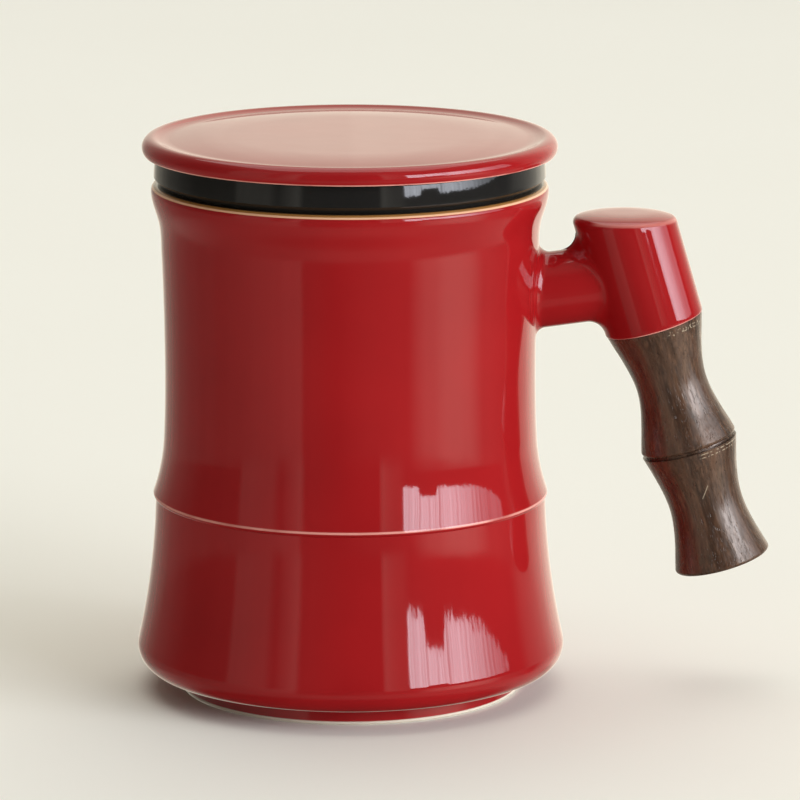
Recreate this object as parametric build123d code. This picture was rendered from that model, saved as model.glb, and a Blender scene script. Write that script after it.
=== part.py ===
from build123d import *
import os
from math import cos, radians, sin, tan

# A lidded tea cup shaped like a bamboo stem, with a ceramic infuser and a turned wooden grip.
# Millimetres. The origin is the centre of the foot, +Z is up and the handle points along +X.

# Cup: two hollow bamboo segments that meet at a node. A flare is what a place adds to the neck's radius
cup_height = 106.3
neck_radius = 38.45
rim_flare = 2.55
lip_width = 3.9
lip_round = 1.5
lip_inner_round = 1.0
mouth_lean = 8.0
throat_flare = 1.0
throat_drop = 8.0
shoulder_flare = 0.5
shoulder_drop = 14.3
shoulder_lean = 2.5
hip_flare = 0.3
hip_rise = 11.8
hip_lean = 19.0
node_flare = 2.55
node_height = 41.2
node_bead = 0.8
node_step = 0.4
notch_angle = 65.0
belly_radius = 44.5
belly_round = 5.0
belly_lean = 13.0
foot_inset = 9.1
foot_height = 4.0
foot_width = 4.4
foot_recess = 2.6
foot_recess_round = 1.3
foot_round = 0.5
wall = 3.6
floor_thickness = 5.0
floor_round = 7.0
floor_draw = 1.1

# Handle: a short ceramic arm and the slanted round boss that the grip hangs from
grip_tilt = 16.3
boss_reach = 24.6
boss_drop = 7.15
boss_height = 22.85
boss_radius = 10.4
boss_top_round = 1.4
boss_foot_round = 0.6
arm_height = 15.6
arm_inset = 3.6
arm_rise = 7.5
arm_up = 10.3
arm_cup_round = 2.2
arm_boss_round = 3.8
blend_land = 0.1

# Grip: two concave segments turned from one length of walnut
upper_length = 26.35
lower_length = 25.55
grip_top_radius = 10.15
grip_node_radius = 10.05
grip_foot_radius = 10.05
upper_waist_radius = 7.35
lower_waist_radius = 7.65
grip_flare = 0.27
groove_width = 0.5
groove_depth = 0.8
grip_foot_round = 0.7

# Hidden joint of grip and boss
stud_radius = 2.5
stud_in_grip = 24.0
stud_in_boss = 14.0
stud_chamfer = 0.6
adhesive_wall = 2.1
adhesive_end = 2.0
bond_clearance = 0.02
tip_clearance = 1.0

# Infuser: a strainer that hangs by its flange on the cup's lip
flange_inset = 0.6
band_height = 6.2
band_wall = 3.8
band_undercut = 1.2
band_undercut_rise = 1.5
band_foot_lean = 1.0
band_top_lean = 6.0
band_top_round = 0.6
lip_clearance = 0.7
cup_clearance = 1.4
infuser_depth = 66.0
infuser_wall = 2.6
infuser_taper = 1.6
infuser_foot_round = 5.0
neck_drop = 9.0
shelf_thickness = 2.9
shelf_width = 1.0
shelf_round = 1.0
bowl_mouth_round = 1.2
hole_radius = 1.1
hole_pitch = 6.0
hole_margin = 2.0
first_ring_holes = 6

# Lid: a low dome inside a raised rim, with a skirt that drops into the infuser's mouth
lid_overhang = 2.4
lid_edge_round = 2.2
lid_edge_angle = 36.2
rim_angle = 125.0
gutter_round = 1.0
dome_lean = 7.0
dome_width = 13.0
lid_web = 2.6
skirt_lift = 0.3
skirt_wall = 2.6
skirt_round = 0.8
skirt_clearance = 0.4

# Places on the cup that follow from them
rim_radius = neck_radius + rim_flare
mouth_radius = rim_radius - lip_width
shoulder_radius = neck_radius + shoulder_flare
shoulder_height = cup_height - shoulder_drop
hip_height = node_height + hip_rise
neck_height = (hip_height + shoulder_height) / 2
node_radius = neck_radius + node_flare
foot_radius = belly_radius - foot_inset
cup_floor = foot_recess + floor_thickness

# Places on the handle
boss_top = cup_height - boss_drop
boss_foot = (neck_radius + boss_reach, 0, boss_top - boss_height)
grip_axis = (sin(radians(grip_tilt)), 0, -cos(radians(grip_tilt)))
grip_plane = Plane(origin=boss_foot, x_dir=(0, 1, 0), z_dir=grip_axis)
socket_radius = stud_radius + adhesive_wall
socket_depth = stud_in_boss + adhesive_end

# Places on the infuser and the lid
flange_radius = rim_radius - flange_inset
band_top = cup_height + band_height
shelf_top = cup_height + shelf_thickness
bowl_mouth_radius = flange_radius - band_wall
infuser_radius = neck_radius - wall - cup_clearance
infuser_foot = cup_height - infuser_depth
infuser_foot_radius = infuser_radius - infuser_taper
infuser_floor_radius = infuser_foot_radius - infuser_foot_round
lid_radius = flange_radius + lid_overhang


def turned(*edges):
    """Solid turned about Z from edges that close an outline, given as radius and height."""
    outline = make_face(Wire(list(edges)))
    return revolve(Plane.XZ * outline, Axis.Z)


def on_circle(centre, radius, angle):
    """Point of a circle in the outline, at an angle in degrees from the outward direction."""
    return (centre[0] + radius * cos(radians(angle)), centre[1] + radius * sin(radians(angle)))


def heading(angle):
    """Direction in the outline that leans inwards from straight up by an angle in degrees."""
    return (-sin(radians(angle)), cos(radians(angle)))


def cup_skin():
    """The cup's outside, as a solid block: foot, belly, bamboo node, neck and rolled lip."""
    foot_edge = (foot_radius - foot_round, foot_round)
    corner = (belly_radius - belly_round, foot_height + belly_round)
    belly = on_circle(corner, belly_round, belly_lean)
    bead = (node_radius - node_bead, node_height)
    notch = on_circle(bead, node_bead, -notch_angle)
    node_edge = (node_radius - node_step, notch[1] - node_step)
    hip_start = on_circle(bead, node_bead, hip_lean)
    hip = TangentArc(hip_start, (neck_radius + hip_flare, hip_height), tangent=heading(hip_lean))
    shoulder = (shoulder_radius, shoulder_height)
    lip = (rim_radius - lip_round, cup_height - lip_round)
    return turned(
        Line((0, 0), (foot_edge[0], 0)),
        CenterArc(foot_edge, foot_round, -90, 90),
        Line((foot_radius, foot_round), (foot_radius, foot_height)),
        Line((foot_radius, foot_height), (corner[0], foot_height)),
        CenterArc(corner, belly_round, -90, 90 + belly_lean),
        TangentArc(belly, node_edge, tangent=heading(belly_lean)),
        Line(node_edge, notch),
        CenterArc(bead, node_bead, -notch_angle, notch_angle + hip_lean),
        hip,
        Spline(hip @ 1, (neck_radius, neck_height), shoulder, tangents=[hip % 1, heading(-shoulder_lean)]),
        Spline(
            shoulder,
            (neck_radius + throat_flare, cup_height - throat_drop),
            (rim_radius, lip[1]),
            tangents=[heading(-shoulder_lean), heading(0)],
        ),
        CenterArc(lip, lip_round, 0, 90),
        Line((lip[0], cup_height), (0, cup_height)),
        Line((0, cup_height), (0, 0)),
    )


def cup_cavity():
    """The room inside the cup, which follows the outside one wall further in."""
    floor_edge = (belly_radius - floor_draw - wall, cup_floor + floor_round)
    flat = floor_edge[0] - floor_round
    lip = (mouth_radius + lip_inner_round, cup_height - lip_inner_round)
    return turned(
        Line((0, cup_floor), (flat, cup_floor)),
        CenterArc((flat, floor_edge[1]), floor_round, -90, 90 + belly_lean),
        Spline(
            on_circle((flat, floor_edge[1]), floor_round, belly_lean),
            (node_radius - node_step - wall, node_height),
            (neck_radius - wall, neck_height),
            (shoulder_radius - wall, shoulder_height),
            (mouth_radius, lip[1]),
            tangents=[heading(belly_lean), heading(-mouth_lean)],
        ),
        CenterArc(lip, lip_inner_round, 180, -90),
        Line((lip[0], cup_height), (0, cup_height)),
        Line((0, cup_height), (0, cup_floor)),
    )


def foot_hollow():
    """The shallow recess inside the foot ring, which leaves the ring to stand on."""
    inner = foot_radius - foot_width
    hollow = Cylinder(inner, foot_recess, align=(Align.CENTER, Align.CENTER, Align.MIN))
    return fillet(hollow.edges().group_by(Axis.Z)[-1], foot_recess_round)


def arm_and_boss():
    """The boss, level on top and square to the grip below, with the arm run into it."""
    blank_length = 2 * boss_height
    blank = Cylinder(boss_radius, blank_length, align=(Align.CENTER, Align.CENTER, Align.MAX))
    boss = split(grip_plane * blank, Plane.XY.offset(boss_top), keep=Keep.BOTTOM)
    boss = fillet(boss.edges().sort_by(Axis.Z)[-1], boss_top_round)
    boss = fillet(boss.edges().filter_by(GeomType.CIRCLE).sort_by(Axis.Z)[0], boss_foot_round)
    along = Vector(cos(radians(arm_rise)), 0, sin(radians(arm_rise)))
    arm_end = grip_plane.origin - grip_plane.z_dir * arm_up
    arm_length = (arm_end.X - neck_radius + wall / 2) / along.X
    arm_plane = Plane(origin=arm_end, x_dir=(0, 1, 0), z_dir=-along)
    arm = extrude(arm_plane * Ellipse(boss_radius - arm_inset, arm_height / 2), arm_length)
    joined = arm + boss
    return fillet(new_edges(arm, boss, combined=joined), arm_blend())


def arm_blend():
    """Radius of the blend from arm to boss, limited by the walls that it runs out on."""
    tilt = radians(grip_tilt)
    turn = radians(grip_tilt - arm_rise)
    middle = arm_up + boss_radius * tan(turn)
    half = arm_height / 2 / cos(turn)
    boss_wall = (boss_height + boss_radius * sin(tilt)) / cos(tilt)
    under = middle - half - boss_foot_round - blend_land
    over = boss_wall - 2 * boss_top_round - middle - half - blend_land
    free_arm = boss_reach - (middle + half) * sin(tilt) - boss_radius * cos(tilt) - 2 * arm_cup_round
    slope = tan(radians(45) + turn / 2)
    return min(arm_boss_round, under * slope, over / slope, free_arm / slope)


def make_cup_body():
    """Cup, arm and boss, fired as one piece, hollowed out and with the socket for the stud."""
    skin = cup_skin()
    handle = arm_and_boss()
    body = skin + handle
    seam = new_edges(skin, handle, combined=body)
    body = fillet(seam, arm_cup_round)
    socket = Cylinder(socket_radius, socket_depth, align=(Align.CENTER, Align.CENTER, Align.MAX))
    return body - cup_cavity() - foot_hollow() - grip_plane * socket


def strainer_holes():
    """Drills for the holes in the infuser's floor: one in the centre and rings around it."""
    drill_length = 3 * infuser_wall
    drill = Pos(0, 0, infuser_foot + infuser_wall / 2) * Cylinder(hole_radius, drill_length)
    drills = [drill]
    rings = int((infuser_floor_radius - hole_margin) / hole_pitch)
    for ring in range(1, rings + 1):
        places = PolarLocations(ring * hole_pitch, ring * first_ring_holes)
        drills += [place * drill for place in places]
    return drills


def make_infuser():
    """Strainer: a bulged band, cut back under its foot, on the cup's lip, a neck and a holed floor."""
    foot_turn = infuser_foot + infuser_foot_round
    neck_low = cup_height - neck_drop
    neck = (mouth_radius - lip_clearance, cup_height - lip_inner_round)
    seat = neck[0] + lip_inner_round
    band_foot = (flange_radius, cup_height + band_undercut_rise)
    band_turn = band_top - band_top_round
    band_rise = band_turn + band_top_round * sin(radians(band_top_lean)) - band_foot[1]
    band_draw = band_rise * tan(radians((band_foot_lean + band_top_lean) / 2))
    band_end = (band_foot[0] - band_draw, band_foot[1] + band_rise)
    band_outer = (band_end[0] - band_top_round * cos(radians(band_top_lean)), band_turn)
    band_inner = (bowl_mouth_radius + band_top_round, band_turn)
    shelf = (bowl_mouth_radius - shelf_round, shelf_top + shelf_round)
    bowl = (shelf[0] - shelf_width, shelf_top - bowl_mouth_round)
    inner_round = infuser_foot_round - infuser_wall
    inner_foot = infuser_foot_radius - infuser_wall
    inner_radius = infuser_radius - infuser_wall
    slope = (infuser_taper, neck_low - foot_turn)
    body = turned(
        Line((0, infuser_foot), (infuser_floor_radius, infuser_foot)),
        CenterArc((infuser_floor_radius, foot_turn), infuser_foot_round, -90, 90),
        Line((infuser_foot_radius, foot_turn), (infuser_radius, neck_low)),
        Spline((infuser_radius, neck_low), neck, tangents=[slope, heading(0)]),
        CenterArc((seat, neck[1]), lip_inner_round, 180, -90),
        Line((seat, cup_height), (flange_radius - band_undercut, cup_height)),
        Line((flange_radius - band_undercut, cup_height), band_foot),
        TangentArc(band_foot, band_end, tangent=heading(band_foot_lean)),
        CenterArc(band_outer, band_top_round, band_top_lean, 90 - band_top_lean),
        Line((band_outer[0], band_top), (band_inner[0], band_top)),
        CenterArc(band_inner, band_top_round, 90, 90),
        Line((bowl_mouth_radius, band_inner[1]), (bowl_mouth_radius, shelf[1])),
        CenterArc(shelf, shelf_round, 0, -90),
        Line((shelf[0], shelf_top), (bowl[0], shelf_top)),
        CenterArc(bowl, bowl_mouth_round, 90, 90),
        Spline(
            (bowl[0] - bowl_mouth_round, bowl[1]),
            (inner_radius, neck_low),
            tangents=[(0, -1), (-slope[0], -slope[1])],
        ),
        Line((inner_radius, neck_low), (inner_foot, foot_turn)),
        CenterArc((inner_foot - inner_round, foot_turn), inner_round, 0, -90),
        Line((inner_foot - inner_round, infuser_foot + infuser_wall), (0, infuser_foot + infuser_wall)),
        Line((0, infuser_foot + infuser_wall), (0, infuser_foot)),
    )
    return body - strainer_holes()


def make_lid():
    """Disc with a rounded rim, a low dome that falls to a gutter inside it, and a locating skirt below."""
    edge = (lid_radius - lid_edge_round, band_top + lid_edge_round * sin(radians(lid_edge_angle)))
    low_corner = on_circle(edge, lid_edge_round, -lid_edge_angle)
    gutter = on_circle(edge, lid_edge_round + gutter_round, rim_angle)
    dome_foot = on_circle(gutter, gutter_round, -90 - dome_lean)
    dome_radius = dome_width / sin(radians(dome_lean))
    dome = (dome_foot[0] - dome_width, dome_foot[1] - dome_radius * cos(radians(dome_lean)))
    dome_top = dome[1] + dome_radius
    ceiling = gutter[1] - gutter_round - lid_web
    skirt_outer = bowl_mouth_radius - skirt_clearance
    skirt_inner = skirt_outer - skirt_wall
    skirt_foot = shelf_top + skirt_lift
    skirt_turn = skirt_foot + skirt_round
    return turned(
        Line((0, ceiling), (skirt_inner - skirt_round, ceiling)),
        CenterArc((skirt_inner - skirt_round, ceiling - skirt_round), skirt_round, 90, -90),
        Line((skirt_inner, ceiling - skirt_round), (skirt_inner, skirt_turn)),
        CenterArc((skirt_inner + skirt_round, skirt_turn), skirt_round, 180, 90),
        Line((skirt_inner + skirt_round, skirt_foot), (skirt_outer - skirt_round, skirt_foot)),
        CenterArc((skirt_outer - skirt_round, skirt_turn), skirt_round, -90, 90),
        Line((skirt_outer, skirt_turn), (skirt_outer, band_top)),
        Line((skirt_outer, band_top), low_corner),
        CenterArc(edge, lid_edge_round, -lid_edge_angle, lid_edge_angle + rim_angle),
        CenterArc(gutter, gutter_round, rim_angle - 180, 90 - rim_angle - dome_lean),
        CenterArc(dome, dome_radius, 90 - dome_lean, dome_lean),
        Line((dome[0], dome_top), (0, dome_top)),
        Line((0, dome_top), (0, ceiling)),
    )


def make_handle_grip():
    """Turned grip: two waisted segments, a groove at their node and a bore for the stud."""
    groove_low = upper_length + groove_width
    grip_length = groove_low + lower_length
    groove_floor = grip_node_radius - groove_depth
    node_turn = upper_length - groove_depth
    foot = (grip_foot_radius - grip_foot_round, grip_length - grip_foot_round)
    inwards = (-grip_flare, 1)
    outwards = (grip_flare, 1)
    grip = turned(
        Line((0, 0), (grip_top_radius, 0)),
        Spline(
            (grip_top_radius, 0),
            (upper_waist_radius, upper_length / 2),
            (grip_node_radius, node_turn),
            tangents=[inwards, outwards],
        ),
        CenterArc((groove_floor, node_turn), groove_depth, 0, 90),
        Line((groove_floor, upper_length), (groove_floor, groove_low)),
        Line((groove_floor, groove_low), (grip_node_radius, groove_low)),
        Spline(
            (grip_node_radius, groove_low),
            (lower_waist_radius, groove_low + lower_length / 2),
            (grip_foot_radius, foot[1]),
            tangents=[inwards, outwards],
        ),
        CenterArc(foot, grip_foot_round, 0, 90),
        Line((foot[0], grip_length), (0, grip_length)),
        Line((0, grip_length), (0, 0)),
    )
    bore_depth = stud_in_grip + tip_clearance
    bore = Cylinder(stud_radius + bond_clearance, bore_depth, align=(Align.CENTER, Align.CENTER, Align.MIN))
    return grip_plane * (grip - bore)


def stud_blank(radius):
    """The stud's cylinder, which reaches from the boss's socket into the grip."""
    length = stud_in_boss + stud_in_grip
    return Pos(0, 0, stud_in_grip - length / 2) * Cylinder(radius, length)


def make_handle_stud():
    """Steel stud with bevelled ends."""
    stud = stud_blank(stud_radius)
    return grip_plane * chamfer(stud.edges(), stud_chamfer)


def make_socket_epoxy():
    """Cured adhesive that fills the boss's socket round the stud."""
    plug = Cylinder(
        socket_radius - bond_clearance,
        socket_depth - bond_clearance,
        align=(Align.CENTER, Align.CENTER, Align.MAX),
    )
    return grip_plane * (plug - stud_blank(stud_radius + bond_clearance))


pieces = {
    "cup_body": make_cup_body(),
    "infuser": make_infuser(),
    "lid": make_lid(),
    "handle_grip": make_handle_grip(),
    "handle_stud": make_handle_stud(),
    "socket_epoxy": make_socket_epoxy(),
}

os.makedirs("parts", exist_ok=True)
for name, piece in pieces.items():
    export_step(piece, f"parts/{name}.step")
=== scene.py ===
import math

import bmesh
import bpy
import numpy as np
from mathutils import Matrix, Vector
from mathutils.geometry import tessellate_polygon


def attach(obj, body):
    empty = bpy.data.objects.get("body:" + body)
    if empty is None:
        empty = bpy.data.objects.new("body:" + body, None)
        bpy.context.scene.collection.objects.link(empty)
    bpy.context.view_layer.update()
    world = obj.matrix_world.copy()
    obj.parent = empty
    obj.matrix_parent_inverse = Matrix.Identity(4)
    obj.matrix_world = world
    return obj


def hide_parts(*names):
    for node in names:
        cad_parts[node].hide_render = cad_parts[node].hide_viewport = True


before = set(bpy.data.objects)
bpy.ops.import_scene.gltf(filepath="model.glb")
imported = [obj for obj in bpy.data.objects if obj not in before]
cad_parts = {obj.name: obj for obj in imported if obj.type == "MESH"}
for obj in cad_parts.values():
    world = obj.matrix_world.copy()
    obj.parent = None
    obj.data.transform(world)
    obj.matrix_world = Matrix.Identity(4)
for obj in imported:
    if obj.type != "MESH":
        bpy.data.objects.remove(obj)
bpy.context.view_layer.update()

# Looks of a lidded tea cup with a ceramic infuser and a turned walnut grip.
# Metres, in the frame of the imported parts: the cup stands on Z = 0 and its handle points along +X.
MM = 0.001
DEGREES = 180 / math.pi

# Cup body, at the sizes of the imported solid: two bamboo segments on a foot ring
CUP_HEIGHT = 106.3 * MM
NECK_RADIUS = 38.45 * MM
RIM_RADIUS = 41.0 * MM
MOUTH_RADIUS = 37.1 * MM
LIP_ROUND = 1.5 * MM
LIP_INNER_ROUND = 1.0 * MM
MOUTH_LEAN = 8.0
THROAT = (39.45 * MM, 98.3 * MM)
SHOULDER = (38.95 * MM, 92.0 * MM)
SHOULDER_LEAN = 2.5
NECK = (NECK_RADIUS, 72.5 * MM)
HIP_END = (38.75 * MM, 53.0 * MM)
HIP_LEAN = 19.0
NODE_RADIUS = 41.0 * MM
NODE_HEIGHT = 41.2 * MM
NODE_BEAD = 0.8 * MM
NODE_STEP = 0.4 * MM
NOTCH_ANGLE = 65.0
BELLY_RADIUS = 44.5 * MM
BELLY_ROUND = 5.0 * MM
BELLY_LEAN = 13.0
FOOT_RADIUS = 35.4 * MM
FOOT_INNER = 31.0 * MM
FOOT_HEIGHT = 4.0 * MM
FOOT_ROUND = 0.5 * MM
RECESS = 2.6 * MM
RECESS_ROUND = 1.3 * MM
WALL = 3.6 * MM
CUP_FLOOR = 7.6 * MM
FLOOR_RADIUS = 39.8 * MM
FLOOR_ROUND = 7.0 * MM

# Handle: an arm of oval section and a slanted boss, square to the grip below and level on top
GRIP_TILT = math.radians(16.3)
GRIP_AXIS = Vector((math.sin(GRIP_TILT), 0, -math.cos(GRIP_TILT)))
BOSS_OUT = Vector((math.cos(GRIP_TILT), 0, math.sin(GRIP_TILT)))
SIDE = Vector((0, 1, 0))
BOSS_FOOT = Vector((63.05, 0, 76.3)) * MM
BOSS_TOP = 99.15 * MM
BOSS_RADIUS = 10.4 * MM
BOSS_TOP_ROUND = 1.4 * MM
BOSS_CROWN = 0.77 * MM
BOSS_CROWN_START = 0.8
BOSS_FOOT_ROUND = 0.6 * MM
SOCKET_RADIUS = 4.6 * MM
SOCKET_DEPTH = 16.0 * MM
ARM_RISE = math.radians(7.5)
ARM_ALONG = Vector((math.cos(ARM_RISE), 0, math.sin(ARM_RISE)))
ARM_UP = Vector((-math.sin(ARM_RISE), 0, math.cos(ARM_RISE)))
ARM_ON_BOSS = 10.3 * MM
ARM_END = BOSS_FOOT - GRIP_AXIS * ARM_ON_BOSS
ARM_HALF_WIDTH = 6.8 * MM
ARM_HALF_HEIGHT = 7.8 * MM
ARM_CUP_ROUND = 2.2 * MM
ARM_BOSS_ROUND = 3.55 * MM

# Mesh of the cup body: its columns, the gaps in them where the arm joins, and the steps between rings
CUP_COLUMNS = 256
BOSS_COLUMNS = 84
GAP_HALF = 14
GAP_ROWS = 2 * GAP_HALF
ARM_COLUMNS = 8 * GAP_HALF
GAP_LOW = 70.5 * MM
GAP_HIGH = 96.5 * MM
SHELL_ROWS = 12
NECK_STEPS = 400
MOUTH_STEPS = 200
BOSS_ROUND_STEPS = 8
CROWN_SHARES = (0.95, 0.9, 0.83, 0.75, 0.6, 0.45, 0.3, 0.15)
CROWN_POWER = 4
CUP_BLEND_STEPS = 8
BOSS_BLEND_STEPS = 12
PATCH_SHARES = (0.25, 0.5, 0.75)
ARM_SHARES = (0.2, 0.4, 0.6, 0.8)
SHARP_ANGLE = 40.0

# Where the arm's blends are looked for, as distances back from the arm's end
CUP_BLEND_REACH = (8 * MM, 24 * MM)
BOSS_BLEND_REACH = (4 * MM, 20 * MM)

# Infuser: a strainer that hangs in the cup by a bulged band, with rings of holes in its floor
BAND_RADIUS = 40.4 * MM
BAND_TOP = 112.5 * MM
BAND_UNDERCUT = 1.2 * MM
BAND_UNDERCUT_RISE = 1.5 * MM
BAND_FOOT_LEAN = 1.0
BAND_TOP_LEAN = 9.5
BAND_TOP_ROUND = 0.6 * MM
NECK_CLEARANCE = 0.7 * MM
NECK_FOOT = 97.3 * MM
SHELF_TOP = 109.2 * MM
SHELF_ROUND = 1.0 * MM
SHELF_WIDTH = 1.0 * MM
BOWL_MOUTH = 36.6 * MM
BOWL_ROUND = 1.2 * MM
STRAINER_RADIUS = 33.45 * MM
STRAINER_TAPER = 1.6 * MM
STRAINER_WALL = 2.6 * MM
STRAINER_FOOT = 40.3 * MM
STRAINER_ROUND = 5.0 * MM
HOLE_RADIUS = 1.1 * MM
HOLE_PITCH = 6.0 * MM
HOLE_RINGS = 4
FIRST_RING_HOLES = 6
HOLE_SIDES = 20

# Lid: a low dome inside a raised rim, with a skirt that drops into the infuser's mouth
LID_RADIUS = 42.8 * MM
LID_EDGE_ROUND = 2.2 * MM
LID_EDGE_ANGLE = 36.2
RIM_ANGLE = 109.0
GUTTER_ROUND = 8.0 * MM
DOME_LEAN = 5.0
DOME_WIDTH = 13.0 * MM
LID_WEB = 2.6 * MM
SKIRT_OUTER = 36.2 * MM
SKIRT_INNER = 33.6 * MM
SKIRT_FOOT = 109.5 * MM
SKIRT_ROUND = 0.8 * MM

# Colours, as linear values
RED = (0.315, 0.009, 0.0105, 1)
RED_DEEP = (0.28, 0.0075, 0.009, 1)
BREAK = (0.76, 0.34, 0.28, 1)
# Lip: a tan edge and an ochre top, the ochre partly painted shade under the band, and painted shade where
# the band lies on it
LIP_TAN = (0.82, 0.47, 0.28, 1)
LIP_OCHRE_SHADED = (0.36, 0.165, 0.045, 1)
LIP_SHADE = (0.05, 0.028, 0.012, 1)
CLAY = (0.72, 0.64, 0.52, 1)
BLACK = (0.008, 0.008, 0.0075, 1)
BLACK_CLOUD = (0.014, 0.013, 0.012, 1)
WALNUT_DARK = (0.027, 0.0139, 0.0090, 1)
WALNUT_MID = (0.102, 0.051, 0.030, 1)
WALNUT_FIBRE = (0.126, 0.066, 0.039, 1)
WALNUT_PORE = (0.014, 0.007, 0.005, 1)
WALNUT_MARK = (0.50, 0.41, 0.29, 1)
WALNUT_SHINE = (1.0, 0.90, 0.80, 1)
STEEL_DARK = (0.50, 0.50, 0.50, 1)
STEEL_LIGHT = (0.66, 0.66, 0.65, 1)
EPOXY_DARK = (0.70, 0.66, 0.55, 1)
EPOXY_LIGHT = (0.78, 0.75, 0.66, 1)
PAPER_DARK = (0.90, 0.895, 0.815, 1)
PAPER_LIGHT = (0.92, 0.915, 0.84, 1)
NO_LIGHT = (0, 0, 0, 1)

# Glaze: its ripples, and where it thins out, changes colour or ends. A pair starts and ends a soft step.
GLAZE_RIPPLE = 0.02 * MM
NODE_LINE_RISE = 0.15 * MM
NODE_LINE_HALF = 0.12 * MM
NODE_LINE_SOFT = 0.2 * MM
NODE_LINE_SHARE = 0.8
OUTER_WALL = (38.0 * MM, 38.3 * MM)
LIP_START = (CUP_HEIGHT - 0.85 * MM, CUP_HEIGHT - 0.7 * MM)
# Where the lip's ochre starts, which is partly painted shade under the band, and where its painted shade
# under the band starts
OCHRE_START = (CUP_HEIGHT - 0.5 * MM, CUP_HEIGHT - 0.35 * MM)
LIP_SHADE_START = (40.1 * MM, 39.8 * MM)
BARE_FOOT = (0.9 * MM, 0.6 * MM)
INSIDE_RADIUS = (41 * MM, 40.8 * MM)
INSIDE_ABOVE = (5 * MM, 6 * MM)
FLOOR_BELOW = (30 * MM, 25 * MM)
FACING_IN = (-0.02, -0.1)
FACING_UP = (0.6, 0.7)
BOSS_SIDE = (49 * MM, 51 * MM)
BOSS_FOOT_LINE = (-0.4 * MM, -0.2 * MM)
BOSS_CORNER_START = (BOSS_TOP - 1.5 * MM, BOSS_TOP - 1.2 * MM)
BOSS_CORNER_SHARE = 0.4
LID_EDGE_LINE = (BAND_TOP + 0.32 * MM, BAND_TOP + 0.12 * MM)
LID_EDGE_OUTSIDE = (41.8 * MM, 42.0 * MM)
BARE_SKIRT = (SKIRT_FOOT + 1.0 * MM, SKIRT_FOOT + 0.7 * MM)

# Walnut: how its pattern is drawn out along the grip, its gloss, and its marks by distance from the boss
GRAIN_DRAW = 0.06
PORE_DRAW = 0.1
PORE_SHARE = 0.55
WALNUT_ROUGHNESS = 0.13
WALNUT_ROUGHNESS_SPAN = 0.28
WALNUT_SPECULAR = 0.8
WALNUT_RELIEF = 0.03 * MM
FLECK_DROP = 1.2 * MM
FLECK_HALF = 0.3 * MM
FLECK_SOFT = 0.4 * MM
SCORES = ((27.35 * MM, 0.06 * MM), (28.1 * MM, 0.05 * MM))
SCORE_SOFT = 0.1 * MM
SCRATCH_START = Vector((1.3, 0, 34.4)) * MM
SCRATCH_END = Vector((-0.4, 0, 36.75)) * MM
SCRATCH_HALF = 0.04 * MM
SCRATCH_SOFT = 0.1 * MM
SCRATCH_FADE = 0.2 * MM
SCRATCH_FRONT = (0, 1 * MM)
MARKS_FROM = (4, 14)
MARKS_TO = (80, 60)
MARK_SHARE = 0.6

# Studio: brightness round the cup, low down and higher up, by azimuth to the right of the camera.
# Angles are in degrees, and a pair of them starts and ends a soft step.
STUDIO_LOW = [
    (-180, 1.08), (-170, 0.75), (-157, 0.40), (-135, 0.26), (-118, 0.20), (-84, 0.20), (-60, 0.30),
    (-31, 0.42), (-28, 0.13), (-9, 0.06), (10, 0.13), (36, 0.16), (44, 0.70), (63, 1.30), (78, 1.05),
    (90, 0.30), (116, 0.05), (128, 0.55), (148, 1.05), (180, 1.08),
]
STUDIO_HIGH = [
    (-180, 1.08), (-170, 0.75), (-157, 0.40), (-135, 0.22), (-115, 0.14), (-98, 0.08), (-71, 0.11),
    (-68, 0.36), (-48, 0.36), (-42, 0.13), (-36, 0.35), (-30, 0.55), (-27, 0.12), (-2, 0.06), (17, 0.06),
    (19, 0.75), (23, 0.45), (30, 0.30), (34, 0.13), (104, 0.07), (112, 0.30), (130, 0.55), (150, 1.05),
    (180, 1.08),
]
STUDIO_TURN = (-9, -7)
UPRIGHTS_LEAST = 0.65
UPRIGHTS_SPAN = 0.7
STUDIO_GROUND = [(-180, 0.6), (-90, 0.22), (60, 0.32), (180, 0.6)]
GROUND_START = (-19, -26)
STUDIO_FOOT = (0.05, 0.05, 0.05, 1)
FOOT_START = (-36, -50)
STUDIO_CEILING = (0.25, 0.25, 0.25, 1)
CEILING_START = (32, 55)
SIDE_TINT = (1.05, 0.99, 0.86, 1)
BACKDROP_TINT = (1.17, 1.08, 0.89, 1)
# How straight away from the camera a direction points where the backdrop's tint starts and is full
BACKDROP_START = (0.4, 0.9)

# Softbox to the right: its lower edge as azimuth and elevation, its sides and top, and its brightness
SOFTBOX_EDGE = [
    (31, -3), (41, -3), (42, 4.5), (52.5, 4.5), (53.5, -2), (66, -1.5), (80, 0), (92, 2), (101, 5),
]
SOFTBOX_RAGGED = 7.0
SOFTBOX_EDGE_SOFT = 0.3
SOFTBOX_LEFT = (31, 32.5)
SOFTBOX_RIGHT = (101, 98)
SOFTBOX_TOP = (29, 25)
SOFTBOX_LEVEL = 11.0
SOFTBOX_TINT = (0.92, 0.96, 1.06, 1)
SOFTBOX_FADE = [(31, 1.0), (60, 1.0), (72, 0.75), (82, 0.36), (90, 0.22), (101, 0.2)]
SLATS_LEAST = 0.35
SLATS_SPAN = 0.65
BAR_AZIMUTH = 54.5
BAR_HALF = 0.3
BAR_SOFT = 0.4
BAR_SHADE = 0.5

# Lamps: places, targets and sizes in metres, and how bright each part of the lamp's face is
OVERHEAD_PLACE = (0, 0.6, 2.2)
OVERHEAD_TARGET = (0, 0, 0)
OVERHEAD_SIZE = (2.4, 2.4)
OVERHEAD_LEVEL = 1.5
OVERHEAD_TINT = (1, 0.985, 0.945)
FILL_PLACE = (1.0, -0.58, 0.37)
FILL_TARGET = (0, 0, 0.06)
FILL_SIZE = (0.5, 0.5)
FILL_LEVEL = 5.0
FILL_TINT = (1, 1, 1)

# Floor, in metres
FLOOR_SIZE = 8

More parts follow.
